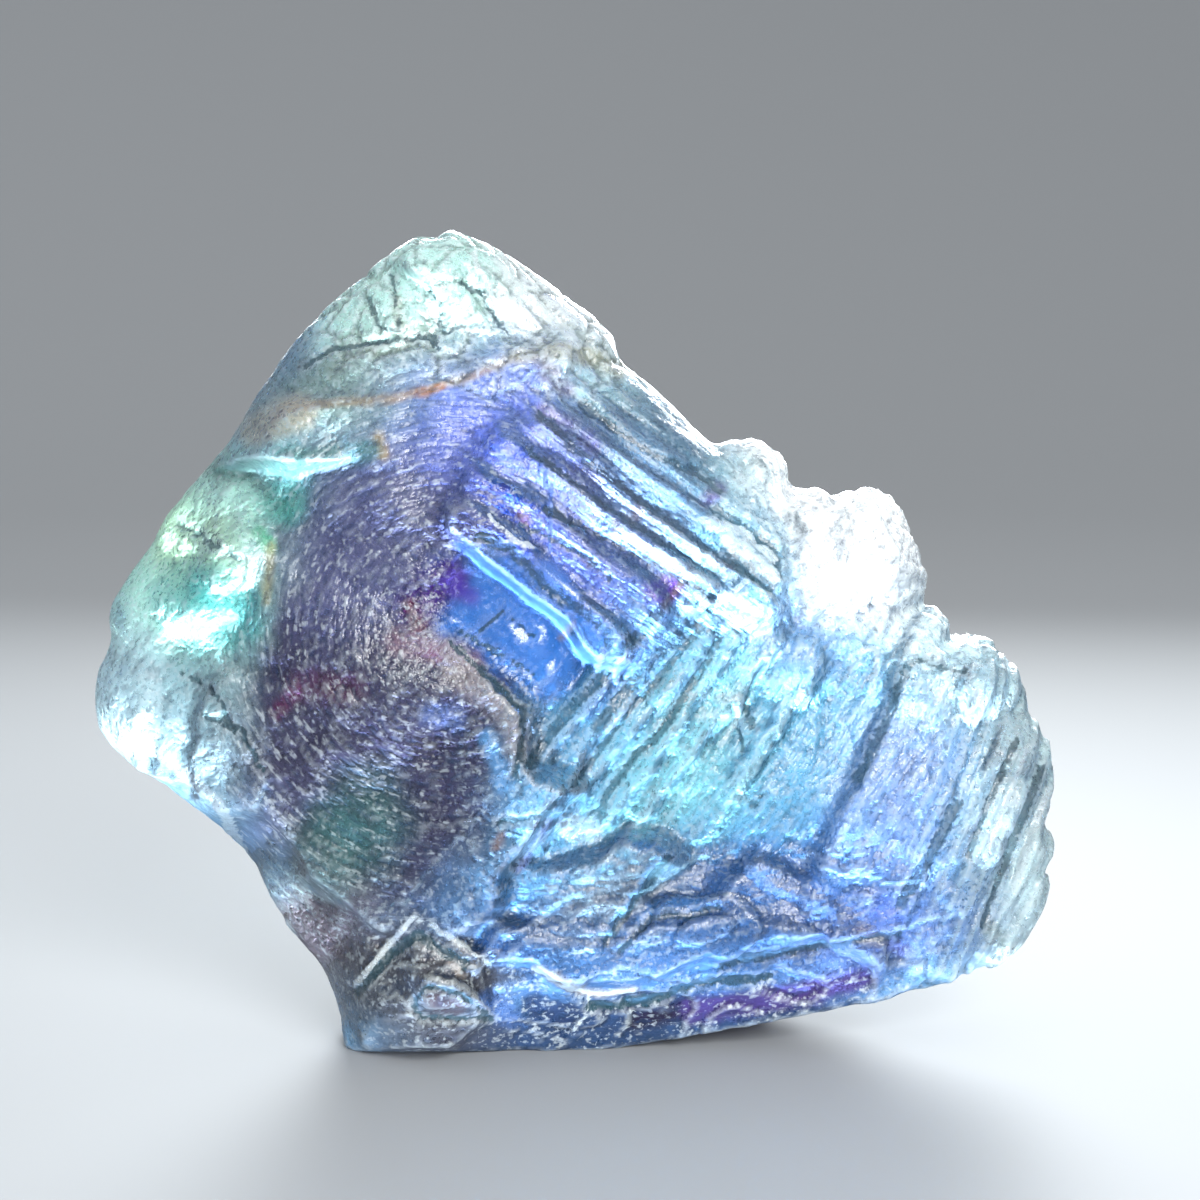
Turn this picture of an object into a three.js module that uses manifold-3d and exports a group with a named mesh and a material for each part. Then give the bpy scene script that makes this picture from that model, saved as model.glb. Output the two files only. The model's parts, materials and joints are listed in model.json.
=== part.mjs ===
// A fluorite specimen: one hand-sized chunk of intergrown, etched fluorite crystals, standing on its broken foot.
// It grew as one piece, so it is one solid. A thick front crystal bulges at the left, stepped cleavage ledges run
// down from its shoulder to the right, and a thinner fan of terraced crystal spreads behind them.
//
// Millimetres. +X is to the right, +Y away from the face that shows best, +Z up. The specimen stands on Z = 0.
// Its front and its back are two reliefs over one outline. Places are given as [x, z], and heights as the distance
// out from the middle surface, towards the viewer in front and away from the viewer behind. Places on the front are
// where the EYE sees them against the plane Y = 0, because it stands near and looks down a little.

import * as THREE from "three";
import Module from "manifold-3d";
import { ConvexGeometry } from "three/addons/geometries/ConvexGeometry.js";
import { ImprovedNoise } from "three/addons/math/ImprovedNoise.js";
import { mergeVertices } from "three/addons/utils/BufferGeometryUtils.js";

const wasm = await Module();
wasm.setup();

// The driving dimensions. The whole chunk is about 80 wide, 67 high and 30 deep.
const HEART = [-1, 31]; // a middle that every point of the outline can see
const FRONT_BASE = 4.6; // the height of the front away from its swells
const BACK_BASE = 5.4;
const RIM_STEPS = 480; // samples round the outline, before the surface is thinned out
const RIM_SPREAD = 14; // samples to each side that share their depth and bluntness
const RING_STEPS = 116; // samples from the outline to the heart
const TRIANGLES = 9000; // what is left of the surface's triangles
const RING_CROWDING = 1.35; // above 1, the rings crowd together near the outline
const HEART_BLUNT = 3;
const RAY_SLANT = 0.9; // a line from the heart meets the outline at a slant, so it is longer than the way out
const SHORT_RAY = 20;
const EDGE_CURVE = 0.55; // how the thickness grows inwards from the outline: under 1, fast and then slowly
const EDGE_UNEVENNESS = 0.16;
const LEDGE_PRIDE = 1.7; // how much thicker than that a ledge may stand
const WALL = 2.2; // the steepness of a ledge's wall
const PITS = 0.35; // the height of the etched unevenness
const EYE = { x: 2, y: -234, z: 70 };

// The outline, clockwise from the peak. Each stretch has its depth y, and how blunt its edge is: the thickness to
// one side, one millimetre in from the outline.
const OUTLINE = [
  { y: 3.6, blunt: 2.9, points: [ // the crown
    [-10.2, 67.5], [-7, 66.2], [-4, 64.3], [-0.2, 61.5], [2.9, 58.9], [3.6, 56.8]] },
  { y: 2, blunt: 3.2, points: [ // the right flank
    [5.2, 55.4], [8.1, 52.8], [11.4, 49.7]] },
  { y: 3.6, blunt: 2.8, points: [ // the lobes of the fan's upper edge
    [12.9, 50], [15.3, 50.1], [17.4, 48.6], [18.2, 46], [20.4, 46], [22, 45.3], [23.8, 46], [26.2, 45.5],
    [27.7, 43.5], [28.6, 41], [29.6, 38.8], [29.4, 36.1], [31, 35.3], [32, 33.1], [34.2, 33.3], [36.2, 31.5],
    [37.7, 29.6], [37.9, 27.4], [39.2, 25.2]] },
  { y: 0.5, blunt: 2.2, points: [ // the right edge, layered like pages
    [39.9, 23], [39.8, 20.2], [39.2, 17.8], [40.1, 16], [39.3, 14.2], [39.8, 12.6], [39, 10], [37.6, 8],
    [35.4, 6.4]] },
  { y: 1, blunt: 6.6, points: [ // the underside, cut flat later
    [31.9, 5.4], [26.9, 3.6], [22.7, 1.8], [18.5, -0.4], [14.4, -2.4], [10.2, -3.4], [6, -3.8], [1.9, -3.8],
    [-1.5, -3.8], [-4.5, -3.4], [-7, -3], [-10.5, -3.4], [-13.5, -3.6], [-16.5, -2.8]] },
  { y: -0.5, blunt: 3.2, points: [ // the broken flank at the lower left
    [-19.2, -0.2], [-20.4, 3.2], [-21.5, 6], [-24, 9.2], [-25.8, 12.2], [-27.2, 15.2], [-29.6, 18.2],
    [-32.4, 20.4], [-35, 22.6]] },
  { y: -1.5, blunt: 2.5, points: [ // the left horn
    [-37.6, 24], [-39.4, 26], [-39.9, 28.6], [-39.6, 31.4], [-38.5, 33.6], [-38.6, 36.2], [-37.3, 38.8]] },
  { y: 1, blunt: 3, points: [ // the long left flank
    [-35.2, 41.6], [-34, 44], [-31, 47.4], [-28.4, 50.6], [-26.3, 54], [-24, 57.3], [-21.5, 60.3],
    [-18.1, 63.3], [-15.2, 65.7], [-13.1, 66.9], [-11.5, 66.8]] },
];

// Swells: middle, reach across and up, height.
const FRONT_SWELLS = [
  { at: [-15, 33], reach: [17, 19], height: 8.6 }, // the front crystal
  { at: [-9, 51], reach: [16, 7], height: 3.4 }, // its shoulder
  { at: [3, 43], reach: [11, 9], height: 3.2 }, // the stepped wedge
  { at: [17, 22], reach: [22, 15], height: 2.6 }, // the fan
  { at: [3, 8], reach: [20, 7], height: 4.2 }, // the bulge over the foot
  { at: [-13, 5], reach: [7, 6], height: 4.2 }, // the foot
];
const BACK_SWELLS = [
  { at: [-9, 29], reach: [19, 20], height: 9.4 },
  { at: [20, 27], reach: [14, 13], height: 3.4 },
  { at: [5, 7], reach: [14, 9], height: 7 }, // the toe, which carries the right-hand side
  { at: [-9, 53], reach: [12, 8], height: 2.6 },
];

const noise = new ImprovedNoise();
// A smooth, uneven value from about -1 to 1 at a place, with lumps of the given size.
const uneven = (x, z, size, layer) => noise.noise(x / size + 7.3, z / size + 2.9, layer + 0.37);

// How far a place is outside a closed outline, negative inside it.
function outside(outline, x, z) {
  let nearest = Infinity;
  let inside = false;
  for (let i = 0, j = outline.length - 1; i < outline.length; j = i++) {
    const [ax, az] = outline[j];
    const [bx, bz] = outline[i];
    const ex = bx - ax;
    const ez = bz - az;
    const share = THREE.MathUtils.clamp(((x - ax) * ex + (z - az) * ez) / (ex * ex + ez * ez), 0, 1);
    nearest = Math.min(nearest, Math.hypot(x - ax - share * ex, z - az - share * ez));
    if (az > z !== bz > z && x < ((bx - ax) * (z - az)) / (bz - az) + ax) inside = !inside;
  }
  return inside ? -nearest : nearest;
}

// Each feature below takes a place and the height that is there so far, and gives the new height.

// A flat face with the given height at a place, rising by slopeX and slopeZ for each millimetre right and up.
const plane = ([cx, cz], height, slopeX, slopeZ) => (x, z) => height + slopeX * (x - cx) + slopeZ * (z - cz);

// The middle of an outline's own box.
function middleOf(outline) {
  const xs = outline.map(([x]) => x);
  const zs = outline.map(([, z]) => z);
  return [(Math.min(...xs) + Math.max(...xs)) / 2, (Math.min(...zs) + Math.max(...zs)) / 2];
}

// A cleavage plate that stands up from what is under it, with steep walls along its outline.
function plate(outline, height, slopeX, slopeZ) {
  const face = plane(middleOf(outline), height, slopeX, slopeZ);
  return (x, z, under) => Math.max(under, face(x, z) - WALL * Math.max(0, outside(outline, x, z)));
}

// A flat-bottomed hollow with steep walls.
function hollow(outline, height, slopeX, slopeZ) {
  const face = plane(middleOf(outline), height, slopeX, slopeZ);
  return (x, z, under) => Math.min(under, face(x, z) + WALL * Math.max(0, outside(outline, x, z)));
}

// A flat break that takes away all that stands over a plane.
function flatBreak(at, height, slopeX, slopeZ) {
  const face = plane(at, height, slopeX, slopeZ);
  return (x, z, under) => Math.min(under, face(x, z));
}

// A long narrow step with round ends. Its face leans by "lean" across its width and falls by "fall" along it.
function ledge([ax, az], [bx, bz], width, height, lean = 0.2, fall = 0.03) {
  const length = Math.hypot(bx - ax, bz - az);
  const ux = (bx - ax) / length;
  const uz = (bz - az) / length;
  return (x, z, under) => {
    const along = (x - ax) * ux + (z - az) * uz;
    const across = (z - az) * ux - (x - ax) * uz + 0.35 * uneven(x, z, 4.2, height);
    const past = Math.hypot(along - THREE.MathUtils.clamp(along, 0, length), across);
    return Math.max(under, height + lean * across - fall * along - WALL * Math.max(0, past - width / 2));
  };
}

// A rounded lump, or with a negative rise a rounded scoop.
function lump([cx, cz], [rx, rz], rise, turn = 0) {
  const c = Math.cos(THREE.MathUtils.degToRad(turn));
  const s = Math.sin(THREE.MathUtils.degToRad(turn));
  return (x, z, under) => {
    const u = ((x - cx) * c + (z - cz) * s) / rx;
    const v = ((z - cz) * c - (x - cx) * s) / rz;
    return under + rise * Math.max(0, 1 - u * u - v * v);
  };
}

// The cleavage ledges that run down to the right from the shoulder. Each lies a little lower than the one before.
const STEPS_RIGHT = [
  { from: [-9, 43.6], to: [3.1, 33.7], width: 2.6, height: 14.8 },
  { from: [-7.6, 46.2], to: [6, 36.4], width: 2.8, height: 14.2 },
  { from: [-5.6, 48.6], to: [9.8, 37.6], width: 3, height: 13.3 },
  { from: [-3.4, 50.4], to: [15, 36], width: 2.6, height: 11.9 },
  { from: [-2.5, 52.2], to: [16, 38.4], width: 2.4, height: 10.3 },
  { from: [-1.6, 54], to: [16, 41], width: 2.4, height: 8.5 },
  { from: [-0.6, 55.4], to: [15.2, 43.8], width: 2.2, height: 6.6 },
  { from: [1, 56.4], to: [13.4, 46.4], width: 1.9, height: 4.9 },
  { from: [3.4, 56], to: [11.6, 48.6], width: 1.5, height: 3.2 },
];

// The ridges that run down to the left over the fan.
const STEPS_LEFT = [
  { from: [6.6, 36], to: [-3.4, 23.6], width: 1.5, height: 12 },
  { from: [9, 36.4], to: [-1.4, 22.8], width: 1.7, height: 11.3 },
  { from: [11, 35], to: [-0.2, 20.8], width: 1.6, height: 10.6 },
  { from: [12.8, 34], to: [1.8, 18.8], width: 1.9, height: 9.9 },
  { from: [15.6, 33.8], to: [5, 19.8], width: 2.3, height: 9.1 },
  { from: [19.2, 32], to: [9.8, 17.6], width: 2.7, height: 8.4 },
];

// The ledges along the crown's right edge.
const STEPS_CROWN = [
  { from: [-6.4, 65.2], to: [3, 58.2], width: 2.4, height: 4.6 },
  { from: [-8.1, 66], to: [0.8, 58.2], width: 2.2, height: 5.5 },
  { from: [-10, 66], to: [-2.8, 57.8], width: 2.2, height: 6.4 },
  { from: [-12.4, 65.4], to: [-6.6, 57.6], width: 2.4, height: 7.1 },
];

const ledges = (steps, lean, fall) =>
  steps.map(({ from, to, width, height }) => ledge(from, to, width, height, lean, fall));

const FRONT = [
  // broad flat faces: the lower left, the upper left flank and the crown
  flatBreak([-25, 22], 10, 0.42, 0.1),
  flatBreak([-27, 46], 8.4, 0.32, -0.26),
  flatBreak([-9, 60], 7, -0.02, -0.34),
  // the fan's terraces, which step back towards the right edge
  plate([[28.3, 33], [25.4, 26], [23.5, 21.3], [20.4, 14.5], [18.5, 11], [25.6, 6], [28.1, 11], [31.2, 19.3],
    [33.4, 26], [33.8, 30.3]], 8.2, -0.16, -0.04),
  plate([[34.3, 23.4], [31.4, 18.6], [28.4, 11], [28.6, 5], [31.6, 5], [34.9, 14.9], [37.9, 20.8]], 6.2, -0.14, 0),
  plate([[40, 19], [37.2, 14.5], [36, 9.6], [34.7, 6], [37, 6], [40, 10]], 4.7, -0.1, 0.04),
  plate([[18, 45], [17.4, 40], [19.6, 35.6], [24, 36], [27.8, 39.4], [26.8, 43.8], [22.8, 45]], 6.6, -0.08, -0.1),
  lump([15.2, 46.8], [3.2, 3.2], 1.8),
  lump([25.2, 42], [3.6, 4.4], 1.6, -20),
  lump([30.6, 33.6], [2.6, 2.4], 1.8),
  lump([34.4, 29.6], [3.2, 3], 1.6, 30),
  lump([36.6, 24.6], [2.4, 3], 1.4),
  // the leaves and lumps of the left horn
  lump([-29.6, 43], [4.8, 5.6], 2.2, 24),
  lump([-31.6, 37.4], [4.2, 3.4], 1.8, 10),
  lump([-22.8, 56], [3.4, 3], 1.4, 40),
  lump([-36.6, 30], [2.6, 5], 0.9, -8),
  plate([[-33.5, 31.4], [-34.6, 29.1], [-35.7, 27.4], [-36.8, 25.3], [-36.4, 22], [-29, 22], [-26.5, 31.9],
    [-29, 34.6], [-31.6, 33.6]], 6, 0.22, 0.02),
  plate([[-32.6, 29.5], [-34, 27.3], [-34.7, 25.7], [-34.6, 22], [-28, 22], [-26.3, 29.4], [-28.1, 31.9]],
    7.6, 0.24, 0.02),
  plate([[-28.5, 30.9], [-30, 29.9], [-31, 28.6], [-31.5, 27.3], [-31.4, 25.4], [-32, 23.3], [-30.6, 20],
    [-26.5, 20], [-24.8, 29.4]], 9.4, 0.3, 0.04),
  // the wavy ledges over the foot
  plate([[-1.5, 14.6], [2, 15.4], [4.2, 16.6], [6.6, 16.2], [7.7, 15.2], [6.1, 14.1], [5, 12.2], [3.5, 9.9],
    [2.3, 8.8], [0.6, 9], [-1.4, 10.4], [-5, 10.6], [-5.6, 14]], 11.4, 0.04, -0.12),
  plate([[4.6, 9], [6.2, 10.9], [9.4, 11.1], [11.5, 11.7], [13.5, 13.6], [15.4, 15.2], [19.6, 13.2], [19.4, 8.4],
    [12, 6.4], [6, 6.6]], 10, -0.08, -0.1),
  plate([[-7.4, 6.6], [-3.5, 6.3], [-1.8, 5], [1, 4.3], [5.2, 4.6], [8.4, 5.6], [13.2, 7.9], [16.7, 8.6],
    [21.6, 8.4], [14, 10.4], [4, 8.8], [-2, 9.4], [-6.6, 9.2]], 11.4, -0.1, 0.05),
  // the window: a smooth, flat hollow between the torn sheet and the ledges
  hollow([[-12.3, 36.9], [-9.4, 40.6], [-6.8, 41], [2.4, 33.9], [1.9, 32.2], [-1.5, 30.9], [-4.8, 29], [-9, 32]],
    11.9, -0.08, 0.04),
  // the shoulder's upper edge, along the iron-stained seam
  plate([[-28.6, 50.6], [-26, 52.1], [-20.6, 53.4], [-14.8, 54.6], [-9.8, 55.9], [-5.6, 57.4], [-1.5, 57.7],
    [3.4, 56.4], [1.6, 53.6], [-4.8, 51.1], [-14.8, 49.4], [-23.1, 48.6]], 9.5, 0.06, -0.3),
  // the scalloped ends of the ledges, over the fan
  plate([[9.6, 35.4], [10.6, 34.6], [12, 34.3], [13.9, 34.5], [15.1, 35.1], [15.9, 36], [15.7, 37.2],
    [16.9, 38.9], [16.8, 40.1], [16.4, 42], [15.1, 43.8], [13.9, 44.7], [12.5, 46], [8, 44], [5, 40]],
    9.7, -0.12, -0.12),
  // the sloping flank that the ledges step down
  hollow([[2, 60], [2, 56.5], [-2, 50], [6, 42], [14, 36], [18, 38], [17.6, 42], [14.5, 46.5], [12, 50], [12, 60]],
    5.3, -0.63, -0.84),
  ...ledges(STEPS_RIGHT, 0.16, 0.06),
  ...ledges(STEPS_LEFT, 0.2, 0.02),
  ...ledges(STEPS_CROWN, 0.12, 0.04),
  // the sheet whose torn right edge overhangs the window and the fan
  plate([[-11.5, 33.6], [-8.1, 31.7], [-4.5, 27.3], [-4.8, 25.4], [-3.8, 23.1], [-1.2, 21.6], [-2.7, 19.8],
    [-5.6, 16.1], [-6.7, 13.6], [-6.5, 11.5], [-9, 9.4], [-16, 9], [-22, 14], [-27, 22], [-27, 32],
    [-24, 40], [-18, 43], [-14, 39.5], [-12, 36]], 12, 0.24, 0.02),
];

// The back broke along cleavage planes: flat faces that meet in a low ridge, steps on them, and shallow scoops.
const BACK = [
  flatBreak([-9, 30], 14.6, 0.1, 0.06),
  flatBreak([-22, 32], 11.6, 0.42, -0.02),
  flatBreak([4, 34], 13.2, -0.34, 0.02),
  flatBreak([-8, 46], 12.2, 0.02, -0.42),
  flatBreak([-6, 14], 13.4, -0.06, 0.3),
  plate([[-20, 19], [-6, 13], [5, 17], [8, 27], [0, 36], [-10, 41], [-19, 36]], 13.4, 0.02, -0.04),
  plate([[-15, 22], [-2, 18.6], [3, 26], [-5, 33], [-15.4, 31]], 14.6, 0.03, -0.06),
  plate([[14, 13], [29, 9], [36, 19], [31.4, 30], [21, 36], [15, 28]], 8.8, -0.12, -0.04),
  plate([[20, 17], [30, 14], [33, 22], [27.6, 28.4], [20.6, 26]], 10, -0.1, 0.03),
  plate([[-21, 51], [-14, 62], [-5, 62], [-2, 54], [-10, 47.4]], 8.2, 0.02, -0.12),
  plate([[-38, 28], [-30, 22], [-25, 32], [-28, 44], [-36, 40]], 6.8, 0.12, 0),
  ledge([2, 45.4], [15, 35], 2.6, 12.2),
  ledge([4, 46.6], [16.6, 36.6], 2.6, 11.2),
  ledge([6, 47.8], [18, 38.2], 2.6, 10.1),
  ledge([8, 49], [18.6, 40.6], 2.6, 9),
  ledge([9.6, 50.4], [17, 44.2], 2.4, 7.8),
  ledge([-27, 20], [-18, 8], 2.6, 9.4),
  ledge([-25, 22.6], [-14.6, 9.4], 2.8, 10.6),
  lump([25, 41], [4, 4.4], 1.8, 20),
  lump([34, 29.4], [3.4, 3.2], 1.8),
  lump([15.2, 46.8], [3.2, 3], 1.6),
  lump([-30, 45], [4.4, 5], 2),
  lump([-23.4, 13.6], [4, 4], 1.8),
  lump([22, 8], [5, 3.4], 1.6),
  lump([-12, 24], [6, 4.4], -1.2, 30),
  lump([-20, 44], [6, 5], -1.6, -20),
];

// The lesser of two values, rounded off where they meet.
function softMin(a, b, width) {
  const share = THREE.MathUtils.clamp(0.5 + (b - a) / (2 * width), 0, 1);
  return THREE.MathUtils.lerp(b, a, share) - width * share * (1 - share);
}

// Where the eye sees a place that lies at the given depth, against the plane Y = 0.
function seen(x, y, z) {
  const larger = EYE.y / (EYE.y - y);
  return [EYE.x + larger * (x - EYE.x), EYE.z + larger * (z - EYE.z)];
}

// The height of one side at a place, "edge" millimetres in from the outline, where the outline is so blunt.
function relief(side, x, z, edge, blunt) {
  const { sign, base, swells, features, layer } = side;
  const waver = (size, more) => 0.5 * uneven(x, z, size, layer + more); // keeps long edges from being straight
  let height = base + 0.8 * uneven(x, z, 9, layer + 3);
  for (const { at, reach, height: rise } of swells)
    height += rise * Math.exp(-(((x - at[0]) / reach[0]) ** 2) - ((z - at[1]) / reach[1]) ** 2);
  const cap = blunt * edge ** EDGE_CURVE * (1 + EDGE_UNEVENNESS * uneven(x, z, 5, layer + 7));
  height = softMin(height, cap, 0.8);
  const [sx, sz] = sign < 0 ? seen(x, -height, z) : [x, z];
  const [wx, wz] = [sx + waver(4.6, 0), sz + waver(4.6, 9)];
  for (const feature of features) height = feature(wx, wz, height);
  height += PITS * (uneven(x, z, 3.4, layer + 5) + 0.7 * uneven(x, z, 1.7, layer + 6));
  return softMin(height, LEDGE_PRIDE * cap, 0.5);
}

// The outline as evenly spaced places, each with its bluntness. Depth and bluntness are averaged over the places to
// both sides, so that one stretch passes gently into the next.
function outlinePlaces() {
  const marks = OUTLINE.flatMap(({ y, blunt, points }) => points.map(([x, z]) => ({ at: [x, y, z], blunt })));
  const curve = new THREE.CatmullRomCurve3(marks.map(({ at }) => new THREE.Vector3(...at)), true, "centripetal");
  const places = Array.from({ length: RIM_STEPS }, (_, i) => {
    const along = curve.getUtoTmapping(i / RIM_STEPS);
    const { blunt } = marks[Math.floor(along * marks.length) % marks.length];
    return { place: curve.getPoint(along), blunt };
  });
  return places.map(({ place }, i) => {
    let [y, blunt] = [0, 0];
    for (let k = -RIM_SPREAD; k <= RIM_SPREAD; k++) {
      const near = places[(i + k + RIM_STEPS) % RIM_STEPS];
      y += near.place.y / (2 * RIM_SPREAD + 1);
      blunt += near.blunt / (2 * RIM_SPREAD + 1);
    }
    return { place: new THREE.Vector3(place.x, y, place.z), blunt };
  });
}

// The two reliefs as one closed surface: rings of the outline drawn in towards the heart, raised on each side.
function reliefSurface() {
  const rim = outlinePlaces();
  const heart = new THREE.Vector3(HEART[0], 0, HEART[1]);
  const points = rim.map(({ place }) => place.clone());
  const faces = [];
  const sides = [
    { sign: -1, base: FRONT_BASE, swells: FRONT_SWELLS, features: FRONT, layer: 0 },
    { sign: 1, base: BACK_BASE, swells: BACK_SWELLS, features: BACK, layer: 20 },
  ];
  for (const side of sides) {
    const face = (a, b, c) => faces.push(side.sign > 0 ? [a, b, c] : [c, b, a]);
    let outer = 0; // the first point of the ring before
    for (let k = 1; k <= RING_STEPS; k++) {
      const inner = points.length;
      const reach = 1 - (k / RING_STEPS) ** RING_CROWDING;
      for (const { place, blunt } of k < RING_STEPS ? rim : [{ place: heart, blunt: HEART_BLUNT }]) {
        const p = heart.clone().lerp(place, reach);
        const edge = (1 - reach) * Math.max(SHORT_RAY, RAY_SLANT * heart.distanceTo(place));
        p.y = place.y * reach + side.sign * relief(side, p.x, p.z, edge, blunt);
        points.push(p);
      }
      for (let i = 0; i < RIM_STEPS; i++) {
        const j = (i + 1) % RIM_STEPS;
        if (k === RING_STEPS) {
          face(outer + i, outer + j, inner);
          continue;
        }
        face(outer + i, outer + j, inner + j);
        face(outer + i, inner + j, inner + i);
      }
      outer = inner;
    }
  }
  return { points, faces };
}

// Thins a closed surface to about the wanted number of triangles. The edge whose loss moves the surface least is
// drawn together first, so flat faces end up with a few large triangles and ledges keep their sharp edges.
function thinOut({ points, faces }, wanted) {
  const around = points.map(() => new Set()); // the faces at each point
  faces.forEach((face, f) => face.forEach((v) => around[v].add(f)));
  const age = new Int32Array(points.length);
  const normalOf = (a, b, c) => new THREE.Vector3().subVectors(b, a).cross(new THREE.Vector3().subVectors(c, a));

  // Each point carries the summed squares of the distances to the planes of its first faces, as ten numbers.
  const squares = points.map(() => new Float64Array(10));
  for (const face of faces) {
    const normal = normalOf(...face.map((v) => points[v]));
    const area = normal.length() / 2;
    if (area === 0) continue;
    const { x, y, z } = normal.normalize();
    const w = -normal.dot(points[face[0]]);
    const terms = [x * x, x * y, x * z, x * w, y * y, y * z, y * w, z * z, z * w, w * w];
    for (const v of face) terms.forEach((term, k) => (squares[v][k] += term * area));
  }
  const moved = (q, { x, y, z }) =>
    q[0] * x * x + 2 * q[1] * x * y + 2 * q[2] * x * z + 2 * q[3] * x + q[4] * y * y +
    2 * q[5] * y * z + 2 * q[6] * y + q[7] * z * z + 2 * q[8] * z + q[9];

  // The best place for the point that an edge is drawn together to, and what that costs.
  const plan = (a, b) => {
    const q = squares[a].map((term, k) => term + squares[b][k]);
    const halfway = points[a].clone().lerp(points[b], 0.5);
    const choices = [points[a], points[b], halfway];
    const bends = new THREE.Matrix3().set(q[0], q[1], q[2], q[1], q[4], q[5], q[2], q[5], q[7]);
    if (Math.abs(bends.determinant()) > 1e-6) {
      const best = new THREE.Vector3(-q[3], -q[6], -q[8]).applyMatrix3(bends.invert());
      if (best.distanceTo(halfway) < 2 * points[a].distanceTo(points[b])) choices.push(best);
    }
    const costs = choices.map((p) => moved(q, p));
    const least = costs.indexOf(Math.min(...costs));
    const shortFirst = 1e-5 * points[a].distanceToSquared(points[b]);
    return { a, b, to: choices[least].clone(), cost: costs[least] + shortFirst, ages: [age[a], age[b]] };
  };

  // A heap with the cheapest plan on top.
  const heap = [];
  const push = (item) => {
    let i = heap.push(item) - 1;
    while (i > 0 && heap[(i - 1) >> 1].cost > item.cost) {
      heap[i] = heap[(i - 1) >> 1];
      i = (i - 1) >> 1;
    }
    heap[i] = item;
  };
  const pop = () => {
    const top = heap[0];
    const last = heap.pop();
    let i = 0;
    for (let down = 1; down < heap.length; down = 2 * i + 1) {
      if (down + 1 < heap.length && heap[down + 1].cost < heap[down].cost) down++;
      if (heap[down].cost >= last.cost) break;
      heap[i] = heap[down];
      i = down;
    }
    if (heap.length) heap[i] = last;
    return top;
  };

  const neighbours = (v) => new Set([...around[v]].flatMap((f) => faces[f]).filter((w) => w !== v));
  const turnsOver = (v, to, other) =>
    [...around[v]].some((f) => {
      if (faces[f].includes(other)) return false;
      const before = normalOf(...faces[f].map((w) => points[w]));
      const after = normalOf(...faces[f].map((w) => (w === v ? to : points[w])));
      return before.dot(after) < 0.25 * before.length() * after.length();
    });

  points.forEach((_, a) => neighbours(a).forEach((b) => a < b && push(plan(a, b))));
  let left = faces.length;
  while (left > wanted && heap.length) {
    const { a, b, to, ages } = pop();
    if (age[a] !== ages[0] || age[b] !== ages[1]) continue;
    const near = neighbours(a);
    const shared = [...neighbours(b)].filter((v) => near.has(v));
    if (shared.length !== 2 || turnsOver(a, to, b) || turnsOver(b, to, a)) continue;
    for (const f of [...around[b]]) {
      if (faces[f].includes(a)) {
        faces[f].forEach((v) => around[v].delete(f));
        faces[f] = null;
        left--;
      } else {
        faces[f] = faces[f].map((v) => (v === b ? a : v));
        around[b].delete(f);
        around[a].add(f);
      }
    }
    points[a].copy(to);
    squares[b].forEach((term, k) => (squares[a][k] += term));
    age[b] = -1;
    age[a]++;
    neighbours(a).forEach((v) => push(plan(a, v)));
  }
  return { points, faces: faces.filter((face) => face) };
}

// A surface of points and faces as a geometry.
function geometryFrom({ points, faces }) {
  const geometry = new THREE.BufferGeometry().setFromPoints(points);
  return geometry.setIndex(faces.flat());
}

// A closed geometry as a solid.
function solid(geometry) {
  const bare = geometry.index ? geometry.toNonIndexed() : geometry.clone();
  bare.deleteAttribute("normal");
  bare.deleteAttribute("uv");
  const merged = mergeVertices(bare, 1e-4);
  const vertProperties = new Float32Array(merged.attributes.position.array);
  const triVerts = new Uint32Array(merged.index.array);
  return new wasm.Manifold(new wasm.Mesh({ numProp: 3, vertProperties, triVerts }));
}

// A block with flat faces through the given corners, as [x, y, z].
const block = (corners) => solid(new ConvexGeometry(corners.map((c) => new THREE.Vector3(...c))));

// Everything on the far side of a plane through three points, to cut away. The points run anticlockwise as seen
// from outside the specimen.
function beyond(...corners) {
  const size = 220;
  const [p, q, r] = corners.map((c) => new THREE.Vector3(...c));
  const out = q.clone().sub(p).cross(r.clone().sub(p)).normalize();
  const geometry = new THREE.BoxGeometry(size, size, size);
  geometry.applyQuaternion(new THREE.Quaternion().setFromUnitVectors(new THREE.Vector3(0, 0, 1), out));
  const middle = p.add(out.multiplyScalar(size / 2));
  return solid(geometry.translate(middle.x, middle.y, middle.z));
}

// A corner at the given depth, that the eye sees at a place.
const corner = (x, y, z) => {
  const nearer = (EYE.y - y) / EYE.y;
  return [EYE.x + nearer * (x - EYE.x), y, EYE.z + nearer * (z - EYE.z)];
};

// The blocky foot, with flat broken faces.
const FOOT_BLOCKS = [
  block([
    corner(-20.2, -3, 4.4), corner(-18.6, -8.5, 4.6), corner(-13.9, -11.2, 10), corner(-13.6, -13, 4.8),
    corner(-8.2, -12.4, 6.6), corner(-7.2, -10.4, 1.6), corner(-12, -2, 12), [-19.4, -5, 0], [-12.8, -9.6, -1],
    [-17, -7, -1], [-7, 0, -1], [-16, 2, -1], [-20, 0, 5],
  ]),
  block([
    corner(-13.7, -13.4, 3), corner(-12.6, -14, 4.8), corner(-9.6, -13.5, 4), corner(-7.4, -12.4, 2),
    corner(-12.6, -12.8, 1.8), [-13, -9, 4], [-9, -9, 4], [-9, -9, 8], [-13, -9, 8],
  ]),
];

// Clean breaks: the face it stands on, the low bevel in front of that, the underside that rises to the right, and
// the purple face over that.
const CLEAN_BREAKS = [
  beyond([0, 0, 0], [0, 10, 0], [10, 0, 0]),
  beyond([0, -6, 0], [10, -6, 0], [0, -12, 2.2]),
  beyond([10, -8, 1.4], [12, 14, 0], [26.5, -5, 4.3]),
  beyond([6, -6.5, 0.6], [26.5, -5, 4.3], [5.2, -10.4, 3.6]),
];

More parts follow.
